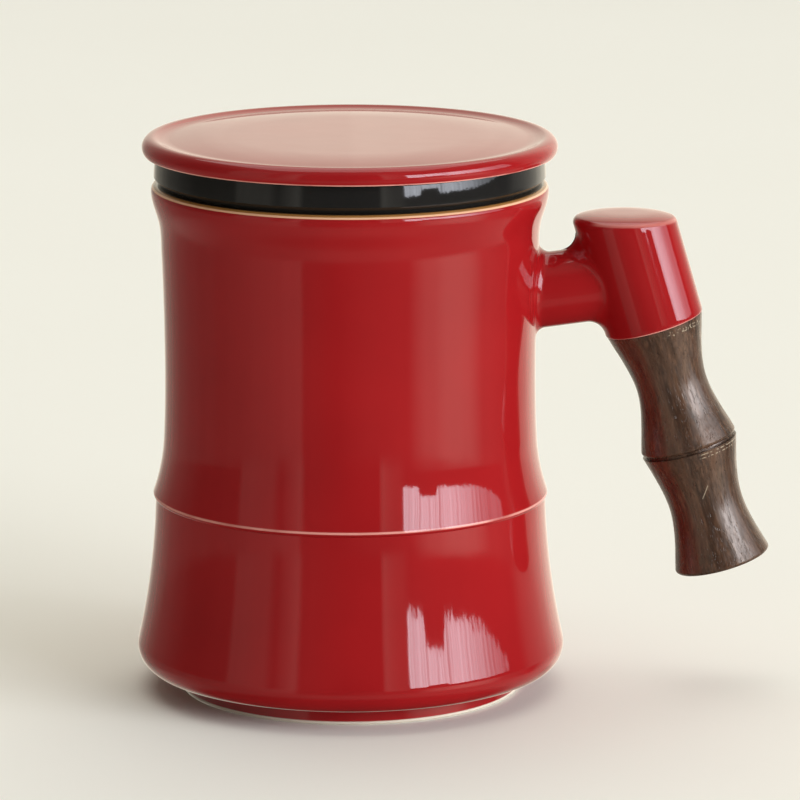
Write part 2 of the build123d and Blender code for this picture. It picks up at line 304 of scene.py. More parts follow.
# Camera as fitted to the photograph: it turns right by the cup's distance in pixels from the middle
SENSOR_WIDTH = 36
LENS = 254.2
LENS_PIXELS = 5648
CUP_LEFT_PIXELS = 50.8
CAMERA_PLACE = (0, -1.148, 0.302)
CAMERA_DOWN = 11.89


class Nodes:
    """A tree of shader nodes that is built up step by step."""

    def __init__(self, tree, place):
        self.tree = tree
        self.place = place

    def feed(self, socket, value):
        if isinstance(value, bpy.types.NodeSocket):
            self.tree.links.new(value, socket)
        else:
            socket.default_value = value

    def node(self, kind, inputs=(), **settings):
        node = self.tree.nodes.new("ShaderNode" + kind)
        for name, value in settings.items():
            setattr(node, name, value)
        for key, value in dict(inputs).items():
            self.feed(node.inputs[key], value)
        return node

    def math(self, operation, *values):
        return self.node("Math", enumerate(values), operation=operation).outputs[0]

    def both(self, first, second):
        return self.math("MULTIPLY", first, second)

    def axis(self, name):
        return self.node("SeparateXYZ", {0: self.place}).outputs[name]

    def vector(self, operation, *values):
        return self.node("VectorMath", enumerate(values), operation=operation).outputs[0]

    def dot(self, first, second):
        return self.node("VectorMath", {0: first, 1: second}, operation="DOT_PRODUCT").outputs["Value"]

    def outward(self):
        """Place seen from the cup's axis, without its height."""
        return self.vector("MULTIPLY", self.place, (1, 1, 0))

    def radius(self):
        return self.node("VectorMath", {0: self.outward()}, operation="LENGTH").outputs["Value"]

    def along(self, start, direction):
        """Distance from a point, measured along a direction."""
        return self.dot(self.vector("SUBTRACT", self.place, start), direction)

    def rise(self, value, start, end):
        """0 before start and 1 after end, with a soft step between them."""
        inputs = {"Value": value, "From Min": start, "From Max": end}
        return self.node("MapRange", inputs, interpolation_type="SMOOTHSTEP").outputs[0]

    def line(self, value, centre, half, soft):
        """1 on a line of a value and 0 away from it."""
        offset = self.math("ABSOLUTE", self.math("SUBTRACT", value, centre))
        return self.rise(offset, half + soft, half)

    def noise(self, scale, detail=2.0, place=None, roughness=0.5):
        inputs = {"Vector": place or self.place, "Scale": scale, "Detail": detail, "Roughness": roughness}
        return self.node("TexNoise", inputs).outputs[0]

    def mix(self, share, low, high):
        return self.node("Mix", {0: share, 6: low, 7: high}, data_type="RGBA").outputs[2]

    def level(self, value, stops):
        """Number that changes steadily between stops, given as a value and the number there."""
        first, last = stops[0][0], stops[-1][0]
        share = self.node("MapRange", {"Value": value, "From Min": first, "From Max": last}).outputs[0]
        ramp = self.node("ValToRGB", {0: share})
        elements = ramp.color_ramp.elements
        for index, (place, number) in enumerate(stops):
            position = (place - first) / (last - first)
            element = elements[index] if index < 2 else elements.new(position)
            element.position = position
            element.color = (number, number, number, 1)
        return ramp.outputs[0]


class Paint(Nodes):
    """A node-based material."""

    def __init__(self, name, roughness):
        self.material = bpy.data.materials.new(name)
        self.material.use_nodes = True
        super().__init__(self.material.node_tree, None)
        self.shader = self.tree.nodes["Principled BSDF"]
        self.shader.inputs["Roughness"].default_value = roughness
        self.place = self.node("TexCoord").outputs["Object"]

    def bump(self, height, distance):
        bump = self.node("Bump", {"Height": height, "Distance": distance})
        self.feed(self.shader.inputs["Normal"], bump.outputs[0])

    def finish(self, colour):
        self.feed(self.shader.inputs["Base Color"], colour)
        return self.material


def glaze_red(paint):
    """Red that pools a little darker and lighter, as a dipped glaze does."""
    cloud = paint.noise(scale=38.0, detail=3.0)
    return paint.mix(paint.rise(cloud, 0.3, 0.75), RED, RED_DEEP)


def break_strength(paint):
    """How far the glaze has run off an edge, which varies along it."""
    return paint.rise(paint.noise(scale=90.0), 0.1, 0.55)


def cup_glaze():
    """Red outside and black inside, thin and pale where the glaze runs off the edges, with painted shade
    on the lip under the band.
    """
    paint = Paint("cup_glaze", roughness=0.05)
    height = paint.axis("Z")
    colour = glaze_red(paint)
    worn = break_strength(paint)
    colour = paint.mix(node_line(paint, height, worn), colour, BREAK)
    colour = paint.mix(boss_edges(paint, worn), colour, BREAK)
    colour = paint.mix(cup_inside(paint, height), colour, BLACK)
    colour = paint.mix(paint.rise(height, *LIP_START), colour, lip_colour(paint, height))
    colour = paint.mix(paint.rise(height, *BARE_FOOT), colour, CLAY)
    paint.bump(paint.noise(scale=160.0, detail=1.0), GLAZE_RIPPLE)
    return paint.finish(colour)


def node_line(paint, height, worn):
    """Thin glaze along the bead of the bamboo node."""
    bead = paint.line(height, NODE_HEIGHT + NODE_LINE_RISE, NODE_LINE_HALF, NODE_LINE_SOFT)
    outside = paint.rise(paint.radius(), *OUTER_WALL)
    return paint.both(paint.both(paint.both(bead, NODE_LINE_SHARE), worn), outside)


def lip_colour(paint, height):
    """Tan where the lip starts, ochre on top of it that is partly painted shade under the band, and
    painted shade inwards where the band lies on it.
    """
    tan = paint.mix(paint.rise(height, *OCHRE_START), LIP_TAN, LIP_OCHRE_SHADED)
    return paint.mix(paint.rise(paint.radius(), *LIP_SHADE_START), tan, LIP_SHADE)


def cup_inside(paint, height):
    """1 on the wall and floor of the cup's inside and 0 elsewhere."""
    normal = paint.node("TexCoord").outputs["Normal"]
    facing = paint.dot(normal, paint.vector("NORMALIZE", paint.outward()))
    wall = paint.rise(facing, *FACING_IN)
    up = paint.node("SeparateXYZ", {0: normal}).outputs["Z"]
    floor = paint.both(paint.rise(up, *FACING_UP), paint.rise(height, *FLOOR_BELOW))
    within = paint.both(paint.rise(paint.radius(), *INSIDE_RADIUS), paint.rise(height, *INSIDE_ABOVE))
    return paint.both(paint.math("MAXIMUM", wall, floor), within)


def boss_edges(paint, worn):
    """Thin glaze round the boss's top edge and along its foot."""
    up = paint.node("SeparateXYZ", {0: paint.node("TexCoord").outputs["Normal"]}).outputs["Z"]
    corner = paint.both(paint.line(up, centre=0.62, half=0.08, soft=0.3), BOSS_CORNER_SHARE)
    near_top = paint.rise(paint.axis("Z"), *BOSS_CORNER_START)
    beside = paint.rise(paint.axis("X"), *BOSS_SIDE)
    top = paint.both(paint.both(corner, near_top), beside)
    foot = paint.both(paint.rise(paint.along(BOSS_FOOT, GRIP_AXIS), *BOSS_FOOT_LINE), beside)
    return paint.both(paint.math("MAXIMUM", top, foot), worn)


def lid_glaze():
    """Red, thin and pale along the lower edge, with bare clay on the skirt's foot."""
    paint = Paint("lid_glaze", roughness=0.05)
    height = paint.axis("Z")
    colour = glaze_red(paint)
    worn = break_strength(paint)
    outside = paint.rise(paint.radius(), *LID_EDGE_OUTSIDE)
    low_edge = paint.both(paint.rise(height, *LID_EDGE_LINE), outside)
    colour = paint.mix(paint.both(low_edge, worn), colour, BREAK)
    colour = paint.mix(paint.rise(height, *BARE_SKIRT), colour, CLAY)
    paint.bump(paint.noise(scale=120.0, detail=1.0), GLAZE_RIPPLE)
    return paint.finish(colour)


def black_glaze():
    paint = Paint("black_glaze", roughness=0.06)
    cloud = paint.noise(scale=60.0, detail=3.0)
    paint.bump(paint.noise(scale=160.0, detail=1.0), GLAZE_RIPPLE)
    return paint.finish(paint.mix(cloud, BLACK, BLACK_CLOUD))


def walnut():
    """Dark oiled walnut with its grain along the grip."""
    paint = Paint("walnut", roughness=0.3)
    down = paint.along(BOSS_FOOT, GRIP_AXIS)
    out = paint.along(BOSS_FOOT, BOSS_OUT)
    front = paint.along(BOSS_FOOT, -SIDE)
    across = {"X": out, "Y": front}
    grain = paint.node("CombineXYZ", {**across, "Z": paint.both(down, GRAIN_DRAW)}).outputs[0]
    fine = paint.node("CombineXYZ", {**across, "Z": paint.both(down, PORE_DRAW)}).outputs[0]
    figure = paint.noise(scale=340.0, detail=3.0, place=grain)
    fibre = paint.noise(scale=1700.0, detail=3.0, place=grain)
    pores = paint.rise(paint.noise(scale=3800.0, detail=1.0, place=fine), 0.62, 0.72)
    colour = paint.mix(paint.rise(figure, 0.2, 0.85), WALNUT_DARK, WALNUT_MID)
    colour = paint.mix(paint.rise(fibre, 0.42, 0.8), colour, WALNUT_FIBRE)
    colour = paint.mix(paint.both(pores, PORE_SHARE), colour, WALNUT_PORE)
    colour = paint.mix(walnut_marks(paint, down, out, front), colour, WALNUT_MARK)
    streaks = paint.rise(paint.noise(scale=900.0, detail=4.0, place=grain, roughness=0.65), 0.36, 0.66)
    rough = paint.math("MULTIPLY_ADD", streaks, WALNUT_ROUGHNESS_SPAN, WALNUT_ROUGHNESS)
    paint.feed(paint.shader.inputs["Roughness"], rough)
    paint.shader.inputs["Specular IOR Level"].default_value = WALNUT_SPECULAR
    paint.shader.inputs["Specular Tint"].default_value = WALNUT_SHINE
    paint.bump(paint.math("SUBTRACT", fibre, pores), WALNUT_RELIEF)
    return paint.finish(colour)


def walnut_marks(paint, down, out, front):
    """Pale flecks under the boss and two pale lines below the groove, only on the grip's front-right
    side, and one short scratch.
    """
    turn = paint.both(paint.math("ARCTAN2", out, front), DEGREES)
    right = paint.both(paint.rise(turn, *MARKS_FROM), paint.rise(turn, *MARKS_TO))
    crumbs = paint.noise(scale=1800.0)
    under_boss = paint.line(down, FLECK_DROP, FLECK_HALF, FLECK_SOFT)
    flecks = paint.both(under_boss, paint.rise(crumbs, 0.54, 0.62))
    lines = [paint.line(down, drop, half, SCORE_SOFT) for drop, half in SCORES]
    scores = paint.both(paint.math("MAXIMUM", *lines), paint.rise(crumbs, 0.42, 0.55))
    marks = paint.both(paint.math("MAXIMUM", flecks, scores), right)
    return paint.both(paint.math("MAXIMUM", marks, walnut_scratch(paint, down, out, front)), MARK_SHARE)


def walnut_scratch(paint, down, out, front):
    """1 on one short scratch on the front of the grip and 0 elsewhere."""
    run = SCRATCH_END - SCRATCH_START
    middle = run.length / 2
    ahead = run.normalized()
    aside = Vector((-ahead.z, 0, ahead.x))
    flat = paint.node("CombineXYZ", {"X": out, "Z": down}).outputs[0]
    offset = paint.vector("SUBTRACT", flat, SCRATCH_START)
    width = paint.line(paint.dot(offset, aside), 0, SCRATCH_HALF, SCRATCH_SOFT)
    length = paint.line(paint.dot(offset, ahead), middle, middle, SCRATCH_FADE)
    return paint.both(paint.both(width, length), paint.rise(front, *SCRATCH_FRONT))


def brushed_steel():
    paint = Paint("brushed_steel", roughness=0.3)
    paint.shader.inputs["Metallic"].default_value = 1.0
    return paint.finish(paint.mix(paint.noise(scale=2500.0), STEEL_DARK, STEEL_LIGHT))


def cured_epoxy():
    paint = Paint("cured_epoxy", roughness=0.45)
    return paint.finish(paint.mix(paint.noise(scale=400.0), EPOXY_DARK, EPOXY_LIGHT))


def dress(node, material):
    """Gives a carried-over part its finish."""
    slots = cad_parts[node].data.materials
    slots.clear()
    slots.append(material)


def on_circle(centre, radius, angle):
    """Point of a circle in an outline, at an angle in degrees from the outward direction."""
    turn = math.radians(angle)
    return (centre[0] + radius * math.cos(turn), centre[1] + radius * math.sin(turn))


def arc(centre, radius, start, end, steps):
    """Points on an arc of an outline, from one angle to another."""
    return [on_circle(centre, radius, angle) for angle in np.linspace(start, end, steps + 1)]


def heading(angle):
    """Direction in an outline that leans inwards from straight up by an angle in degrees."""
    return (-math.sin(math.radians(angle)), math.cos(math.radians(angle)))


def tangent_arc(start, end, direction, steps=24):
    """Points on the arc that leaves a point in a direction and ends at another point."""
    start, end = np.array(start), np.array(end)
    normal = np.array((-direction[1], direction[0]))
    chord = end - start
    radius = chord.dot(chord) / (2 * chord.dot(normal))
    centre = start + radius * normal
    turn = 2 * math.asin(math.hypot(*chord) / 2 / radius)
    points = []
    for angle in np.linspace(0, turn, steps + 1):
        spoke = start - centre
        cosine, sine = math.cos(angle), math.sin(angle)
        points.append((centre[0] + cosine * spoke[0] - sine * spoke[1],
                       centre[1] + sine * spoke[0] + cosine * spoke[1]))
    return points


def spline(points, start, end, steps):
    """Points on the smooth curve through some points, with its directions at both ends."""
    points = np.array(points, float)
    gaps = np.linalg.norm(np.diff(points, axis=0), axis=1)
    last = len(points) - 1
    matrix = np.eye(last + 1)
    right = np.zeros((last + 1, 2))
    right[0], right[last] = start, end
    for i in range(1, last):
        before, after = 1 / gaps[i - 1], 1 / gaps[i]
        matrix[i, i - 1:i + 2] = before, 2 * (before + after), after
        right[i] = 3 * ((points[i] - points[i - 1]) * before**2 + (points[i + 1] - points[i]) * after**2)
    slopes = np.linalg.solve(matrix, right)
    found = [tuple(points[0])]
    for i in range(last):
        for t in np.linspace(0, 1, steps + 1)[1:]:
            found.append(tuple(
                (1 + 2 * t) * (1 - t)**2 * points[i] + t * t * (3 - 2 * t) * points[i + 1]
                + gaps[i] * (t * (1 - t)**2 * slopes[i] - t * t * (1 - t) * slopes[i + 1])
            ))
    return found


def neck_curve():
    """The outside of the cup from the hip up to the lip, finely divided."""
    low = hip_curve()
    rise = np.subtract(low[-1], low[-2])
    rise = rise / np.linalg.norm(rise)
    lean = heading(-SHOULDER_LEAN)
    body = spline([HIP_END, NECK, SHOULDER], rise, lean, NECK_STEPS)
    lip = (RIM_RADIUS, CUP_HEIGHT - LIP_ROUND)
    mouth = spline([SHOULDER, THROAT, lip], lean, heading(0), MOUTH_STEPS)
    return np.array(body + mouth[1:])


def hip_curve():
    """The outside of the cup from the bead at the node up to the neck."""
    bead = (NODE_RADIUS - NODE_BEAD, NODE_HEIGHT)
    return tangent_arc(on_circle(bead, NODE_BEAD, HIP_LEAN), HIP_END, heading(HIP_LEAN))


def foot_outline():
    """From the middle of the recess in the foot to the belly's widest place."""
    corner = (BELLY_RADIUS - BELLY_ROUND, FOOT_HEIGHT + BELLY_ROUND)
    return [
        (FOOT_INNER / 2, RECESS),
        *arc((FOOT_INNER - RECESS_ROUND, RECESS - RECESS_ROUND), RECESS_ROUND, 90, 0, 6),
        (FOOT_INNER, 0),
        *arc((FOOT_RADIUS - FOOT_ROUND, FOOT_ROUND), FOOT_ROUND, -90, 0, 6),
        (FOOT_RADIUS, FOOT_HEIGHT),
        *arc(corner, BELLY_ROUND, -90, BELLY_LEAN, 24),
    ]


def segment_outline(belly):
    """From the belly up to the end of the hip, over the bead at the bamboo node."""
    bead = (NODE_RADIUS - NODE_BEAD, NODE_HEIGHT)
    notch = on_circle(bead, NODE_BEAD, -NOTCH_ANGLE)
    edge = (notch[0], notch[1] - NODE_STEP)
    rise = tangent_arc(belly, edge, heading(BELLY_LEAN))
    return rise[1:] + arc(bead, NODE_BEAD, -NOTCH_ANGLE, HIP_LEAN, 10) + hip_curve()[1:]


def inner_outline():
    """From the top of the lip down the inside to the floor."""
    floor = (FLOOR_RADIUS - FLOOR_ROUND, CUP_FLOOR + FLOOR_ROUND)
    lip = (MOUTH_RADIUS + LIP_INNER_ROUND, CUP_HEIGHT - LIP_INNER_ROUND)
    wall = spline(
        [
            on_circle(floor, FLOOR_ROUND, BELLY_LEAN),
            (NODE_RADIUS - NODE_STEP - WALL, NODE_HEIGHT),
            (NECK[0] - WALL, NECK[1]),
            (SHOULDER[0] - WALL, SHOULDER[1]),
            (MOUTH_RADIUS, lip[1]),
        ],
        heading(BELLY_LEAN), heading(-MOUTH_LEAN), 10,
    )
    round_up = arc(lip, LIP_INNER_ROUND, 90, 180, 8)
    round_down = arc(floor, FLOOR_ROUND, BELLY_LEAN, -90, 14)
    return round_up + wall[::-1][1:] + round_down[1:] + [(floor[0] / 2, CUP_FLOOR)]


class Skin:
    """Vertices and faces of a piece, put together ring by ring."""

    def __init__(self):
        self.points = []
        self.faces = []

    def ring(self, points):
        first = len(self.points)
        self.points.extend(tuple(point) for point in points)
        return list(range(first, len(self.points)))

    def bridge(self, low, high, gap=()):
        """Faces between two rings, left out at the columns of a gap."""
        for column in range(len(low)):
            after = (column + 1) % len(low)
            if column not in gap:
                self.faces.append((low[column], low[after], high[after], high[column]))

    def cap(self, ring, point):
        middle = self.ring([point])[0]
        for column in range(len(ring)):
            self.faces.append((ring[column], ring[(column + 1) % len(ring)], middle))

    def fill(self, *rings):
        """Flat faces inside the first ring, with holes at the others."""
        places = [place for ring in rings for place in ring]
        loops = [[Vector(self.points[place]) for place in ring] for ring in rings]
        for corners in tessellate_polygon(loops):
            self.faces.append(tuple(places[corner] for corner in corners))

    def build(self, name):
        mesh = bpy.data.meshes.new(name)
        mesh.from_pydata(self.points, [], self.faces)
        work = bmesh.new()
        work.from_mesh(mesh)
        bmesh.ops.delete(work, geom=[v for v in work.verts if not v.link_faces], context="VERTS")
        bmesh.ops.recalc_face_normals(work, faces=work.faces)
        work.to_mesh(mesh)
        work.free()
        mesh.shade_smooth()
        mesh.set_sharp_from_angle(angle=math.radians(SHARP_ANGLE))
        piece = bpy.data.objects.new(name, mesh)
        bpy.context.scene.collection.objects.link(piece)
        return piece


def border(rows, low, high, left, right):
    """Vertices round a gap in a grid, from the middle of its left side, up and round."""
    step = 1 if right > left else -1
    count = len(rows[low])
    middle = (low + high) // 2
    return (
        [rows[row][left % count] for row in range(middle, high)]
        + [rows[high][column % count] for column in range(left, right, step)]
        + [rows[row][right % count] for row in range(high, low, -1)]
        + [rows[low][column % count] for column in range(right, left, -step)]
        + [rows[row][left % count] for row in range(low, middle)]
    )


def turned_rows(skin, outline):
    """Rings of vertices round Z, one for each point of an outline."""
    turns = [2 * math.pi * column / CUP_COLUMNS for column in range(CUP_COLUMNS)]
    return [skin.ring((r * math.cos(t), r * math.sin(t), z) for t in turns) for r, z in outline]


def add_cup_shell(skin, neck):
    """The turned shell of the cup, with a gap where the arm joins. Gives the vertices round the gap."""
    heights = np.concatenate([
        np.linspace(HIP_END[1], GAP_LOW, SHELL_ROWS + 2)[1:-1],
        np.linspace(GAP_LOW, GAP_HIGH, GAP_ROWS + 1),
        np.linspace(GAP_HIGH, CUP_HEIGHT - LIP_ROUND, SHELL_ROWS + 2)[1:-1],
    ])
    outline = foot_outline()
    outline += segment_outline(outline[-1])
    gap_low = len(outline) + SHELL_ROWS
    outline += list(zip(np.interp(heights, neck[:, 1], neck[:, 0]), heights))
    outline += arc((RIM_RADIUS - LIP_ROUND, CUP_HEIGHT - LIP_ROUND), LIP_ROUND, 0, 90, 10)
    outline += inner_outline()
    rows = turned_rows(skin, outline)
    gap = {column % CUP_COLUMNS for column in range(-GAP_HALF, GAP_HALF)}
    for row in range(len(rows) - 1):
        inside = gap_low <= row < gap_low + GAP_ROWS
        skin.bridge(rows[row], rows[row + 1], gap if inside else ())
    skin.cap(rows[0], (0, 0, RECESS))
    skin.cap(rows[-1], (0, 0, CUP_FLOOR))
    return border(rows, gap_low, gap_low + GAP_ROWS, GAP_HALF, -GAP_HALF)


def on_boss(turn, rise, radius=BOSS_RADIUS):
    """Point of the boss, at an angle round its axis and a height above its foot."""
    return BOSS_FOOT - GRIP_AXIS * rise + (BOSS_OUT * math.cos(turn) + SIDE * math.sin(turn)) * radius


def boss_wall_top(turn):
    """Height where the boss's wall turns into the rounding of its level top."""
    inner = BOSS_RADIUS - BOSS_TOP_ROUND
    lift = BOSS_TOP - BOSS_TOP_ROUND - BOSS_FOOT.z - inner * BOSS_OUT.z * math.cos(turn)
    return lift / -GRIP_AXIS.z


def add_boss(skin):
    """The boss with its rounded top and foot and its socket. Gives the vertices round the arm's gap."""
    turns = [2 * math.pi * column / BOSS_COLUMNS for column in range(BOSS_COLUMNS)]
    rows = []
    for row in range(GAP_ROWS + 1):
        share = row / GAP_ROWS
        rows.append(skin.ring(
            on_boss(t, BOSS_FOOT_ROUND + share * (boss_wall_top(t) - BOSS_FOOT_ROUND)) for t in turns
        ))
    middle = BOSS_COLUMNS // 2
    gap = set(range(middle - GAP_HALF, middle + GAP_HALF))
    for row in range(GAP_ROWS):
        skin.bridge(rows[row], rows[row + 1], gap)
    add_boss_top(skin, turns, rows[-1])
    add_boss_foot(skin, turns, rows[0])
    return border(rows, 0, GAP_ROWS, middle - GAP_HALF, middle + GAP_HALF)


def add_boss_top(skin, turns, ring):
    """The rounding round the top, which runs on into a low crown."""
    inner = BOSS_RADIUS - BOSS_TOP_ROUND
    up = Vector((0, 0, 1))
    centres = [on_boss(t, boss_wall_top(t), inner) for t in turns]
    walls = [on_boss(t, boss_wall_top(t)) for t in turns]
    tops = [centre + up * BOSS_TOP_ROUND for centre in centres]
    for step in range(1, BOSS_ROUND_STEPS + 1):
        share = BOSS_CROWN_START * step / BOSS_ROUND_STEPS
        edge = [roll(*places, share) for places in zip(centres, walls, tops)]
        after = skin.ring(edge)
        skin.bridge(ring, after)
        ring = after
    middle = sum(edge, Vector()) / len(edge)
    for share in CROWN_SHARES:
        crown = up * BOSS_CROWN * (1 - share**CROWN_POWER)
        after = skin.ring(middle.lerp(place, share) + crown for place in edge)
        skin.bridge(ring, after)
        ring = after
    skin.cap(ring, middle + up * BOSS_CROWN)


def add_boss_foot(skin, turns, ring):
    """The rounded foot of the boss, which the grip meets, and the blind socket in it."""
    foot = arc((BOSS_RADIUS - BOSS_FOOT_ROUND, BOSS_FOOT_ROUND), BOSS_FOOT_ROUND, 0, -90, 5)[1:]
    socket = [(SOCKET_RADIUS, 0), (SOCKET_RADIUS, SOCKET_DEPTH)]
    for radius, rise in foot + socket:
        after = skin.ring(on_boss(t, rise, radius) for t in turns)
        skin.bridge(ring, after)
        ring = after
    skin.cap(ring, on_boss(0, SOCKET_DEPTH, 0))


def roll(centre, start, end, share):
    """Point on a ball's arc between two points that it touches."""
    first, last = start - centre, end - centre
    angle = first.angle(last)
    leaving, coming = math.sin((1 - share) * angle), math.sin(share * angle)
    return centre + (first * leaving + last * coming) / math.sin(angle)


def bisect(function, low, high):
    """Where a falling function crosses zero."""
    for _ in range(50):
        middle = (low + high) / 2
        if function(middle) > 0:
            low = middle
        else:
            high = middle
    return low


def on_arm(turn, reach):
    """Point of the arm's skin, by angle round it and distance from its end, and the outward normal."""
    across, upward = SIDE * math.cos(turn), ARM_UP * math.sin(turn)
    place = ARM_END - ARM_ALONG * reach + across * ARM_HALF_WIDTH + upward * ARM_HALF_HEIGHT
    return place, (across / ARM_HALF_WIDTH + upward / ARM_HALF_HEIGHT).normalized()


def nearest_on_neck(neck, place):
    """Point of the cup's outside that is nearest to a place."""
    spot = np.array((math.hypot(place.x, place.y), place.z))
    start, run = neck[:-1], np.diff(neck, axis=0)
    share = np.clip(((spot - start) * run).sum(1) / (run * run).sum(1), 0, 1)
    found = start + share[:, None] * run
    radius, height = found[np.argmin(((found - spot)**2).sum(1))]
    turn = math.atan2(place.y, place.x)
    return Vector((radius * math.cos(turn), radius * math.sin(turn), height))


def nearest_on_boss(place):
    offset = place - BOSS_FOOT
    rise = offset.dot(-GRIP_AXIS)
    return on_boss(math.atan2(offset.dot(SIDE), offset.dot(BOSS_OUT)), rise)


def blend_at(turn, size, nearest, low, high):
    """Ball that rolls in a corner of the arm: its centre, and where it touches the arm and the other."""
    def gap(reach):
        place, normal = on_arm(turn, reach)
        centre = place + normal * size
        return (centre - nearest(centre)).length - size

    falling = gap if gap(low) > gap(high) else lambda reach: -gap(reach)
    place, normal = on_arm(turn, bisect(falling, low, high))
    centre = place + normal * size
    return centre, place, nearest(centre)


def add_arm(skin, neck, cup_border, boss_border):
    """The arm with its blends into cup and boss, from the gap in the one to the gap in the other."""
    turns = [2 * math.pi * column / ARM_COLUMNS for column in range(ARM_COLUMNS)]

    def nearest_on_cup(place):
        return nearest_on_neck(neck, place)

    at_cup = [blend_at(t, ARM_CUP_ROUND, nearest_on_cup, *CUP_BLEND_REACH) for t in turns]
    at_boss = [blend_at(t, ARM_BOSS_ROUND, nearest_on_boss, *BOSS_BLEND_REACH) for t in turns]
    rings = []
    for share in PATCH_SHARES:
        rings.append([cup_patch(neck, skin.points[i], c[2], share) for i, c in zip(cup_border, at_cup)])
    for step in range(CUP_BLEND_STEPS + 1):
        share = step / CUP_BLEND_STEPS
        rings.append([roll(centre, toe, place, share) for centre, place, toe in at_cup])
    for share in ARM_SHARES:
        rings.append([a[1].lerp(b[1], share) for a, b in zip(at_cup, at_boss)])
    for step in range(BOSS_BLEND_STEPS + 1):
        share = step / BOSS_BLEND_STEPS
        rings.append([roll(centre, place, toe, share) for centre, place, toe in at_boss])
    for share in PATCH_SHARES:
        rings.append([boss_patch(b[2], skin.points[i], share) for i, b in zip(boss_border, at_boss)])
    ring = cup_border
    for points in rings:
        after = skin.ring(points)
        skin.bridge(ring, after)
        ring = after
    skin.bridge(ring, boss_border)


def cup_patch(neck, start, end, share):
    """Point of the cup's outside between two of its points."""
    turn = (1 - share) * math.atan2(start[1], start[0]) + share * math.atan2(end[1], end[0])
    height = (1 - share) * start[2] + share * end[2]
    radius = float(np.interp(height, neck[:, 1], neck[:, 0]))
    return Vector((radius * math.cos(turn), radius * math.sin(turn), height))


def boss_patch(start, end, share):
    """Point of the boss's wall between two of its points."""
    return nearest_on_boss(start.lerp(Vector(end), share))


def make_cup():
    """Cup, arm and boss as one smooth skin."""
    skin = Skin()
    neck = neck_curve()
    cup_border = add_cup_shell(skin, neck)
    boss_border = add_boss(skin)
    add_arm(skin, neck, cup_border, boss_border)
    cup = skin.build("cup")
    cup.data.materials.append(cup_glaze())
    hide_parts("cup_body")
    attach(cup, "cup")


def infuser_outline():
    """From the foot up the outside, over the band and down the inside to the strainer's floor."""
    foot = (STRAINER_RADIUS - STRAINER_TAPER - STRAINER_ROUND, STRAINER_FOOT + STRAINER_ROUND)
    neck = (MOUTH_RADIUS - NECK_CLEARANCE, CUP_HEIGHT - LIP_INNER_ROUND)
    slope = np.array((STRAINER_TAPER, NECK_FOOT - foot[1]))
    slope = slope / np.linalg.norm(slope)
    band_foot = (BAND_RADIUS, CUP_HEIGHT + BAND_UNDERCUT_RISE)
    turn = BAND_TOP - BAND_TOP_ROUND
    rise = turn + BAND_TOP_ROUND * math.sin(math.radians(BAND_TOP_LEAN)) - band_foot[1]
    draw = rise * math.tan(math.radians((BAND_FOOT_LEAN + BAND_TOP_LEAN) / 2))
    band_end = (band_foot[0] - draw, band_foot[1] + rise)
    corner = (band_end[0] - BAND_TOP_ROUND * math.cos(math.radians(BAND_TOP_LEAN)), turn)
    shelf = (BOWL_MOUTH - SHELF_ROUND, SHELF_TOP + SHELF_ROUND)
    bowl = (shelf[0] - SHELF_WIDTH, SHELF_TOP - BOWL_ROUND)
    inner_round = STRAINER_ROUND - STRAINER_WALL
    return [
        *arc(foot, STRAINER_ROUND, -90, 0, 12),
        *spline([(STRAINER_RADIUS, NECK_FOOT), neck], slope, heading(0), 14),
        *arc((neck[0] + LIP_INNER_ROUND, neck[1]), LIP_INNER_ROUND, 180, 90, 6)[1:],
        (BAND_RADIUS - BAND_UNDERCUT, CUP_HEIGHT),
        *tangent_arc(band_foot, band_end, heading(BAND_FOOT_LEAN), 12),
        *arc(corner, BAND_TOP_ROUND, BAND_TOP_LEAN, 90, 6)[1:],
        *arc((BOWL_MOUTH + BAND_TOP_ROUND, turn), BAND_TOP_ROUND, 90, 180, 6),
        *arc(shelf, SHELF_ROUND, 0, -90, 6),
        *arc(bowl, BOWL_ROUND, 90, 180, 6),
        *spline([(bowl[0] - BOWL_ROUND, bowl[1]), (STRAINER_RADIUS - STRAINER_WALL, NECK_FOOT)],
                heading(180), -slope, 14)[1:],
        *arc(foot, inner_round, 0, -90, 8),
    ]


def make_infuser():
    skin = Skin()
    rows = turned_rows(skin, infuser_outline())
    for low, high in zip(rows, rows[1:]):
        skin.bridge(low, high)
    below, above = [], []
    for x, y in hole_places():
        turns = [2 * math.pi * side / HOLE_SIDES for side in range(HOLE_SIDES)]
        circle = [(x + HOLE_RADIUS * math.cos(t), y + HOLE_RADIUS * math.sin(t)) for t in turns]
        below.append(skin.ring((*spot, STRAINER_FOOT) for spot in circle))
        above.append(skin.ring((*spot, STRAINER_FOOT + STRAINER_WALL) for spot in circle))
        skin.bridge(below[-1], above[-1])
    skin.fill(rows[0], *below)
    skin.fill(rows[-1], *above)
    infuser = skin.build("strainer")
    infuser.data.materials.append(black_glaze())
    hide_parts("infuser")
    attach(infuser, "infuser")


def hole_places():
    """Middles of the holes in the strainer's floor: one in the centre and rings around it."""
    places = [(0, 0)]
    for ring in range(1, HOLE_RINGS + 1):
        count = ring * FIRST_RING_HOLES
        for hole in range(count):
            places.append(on_circle((0, 0), ring * HOLE_PITCH, 360 * hole / count))
    return places


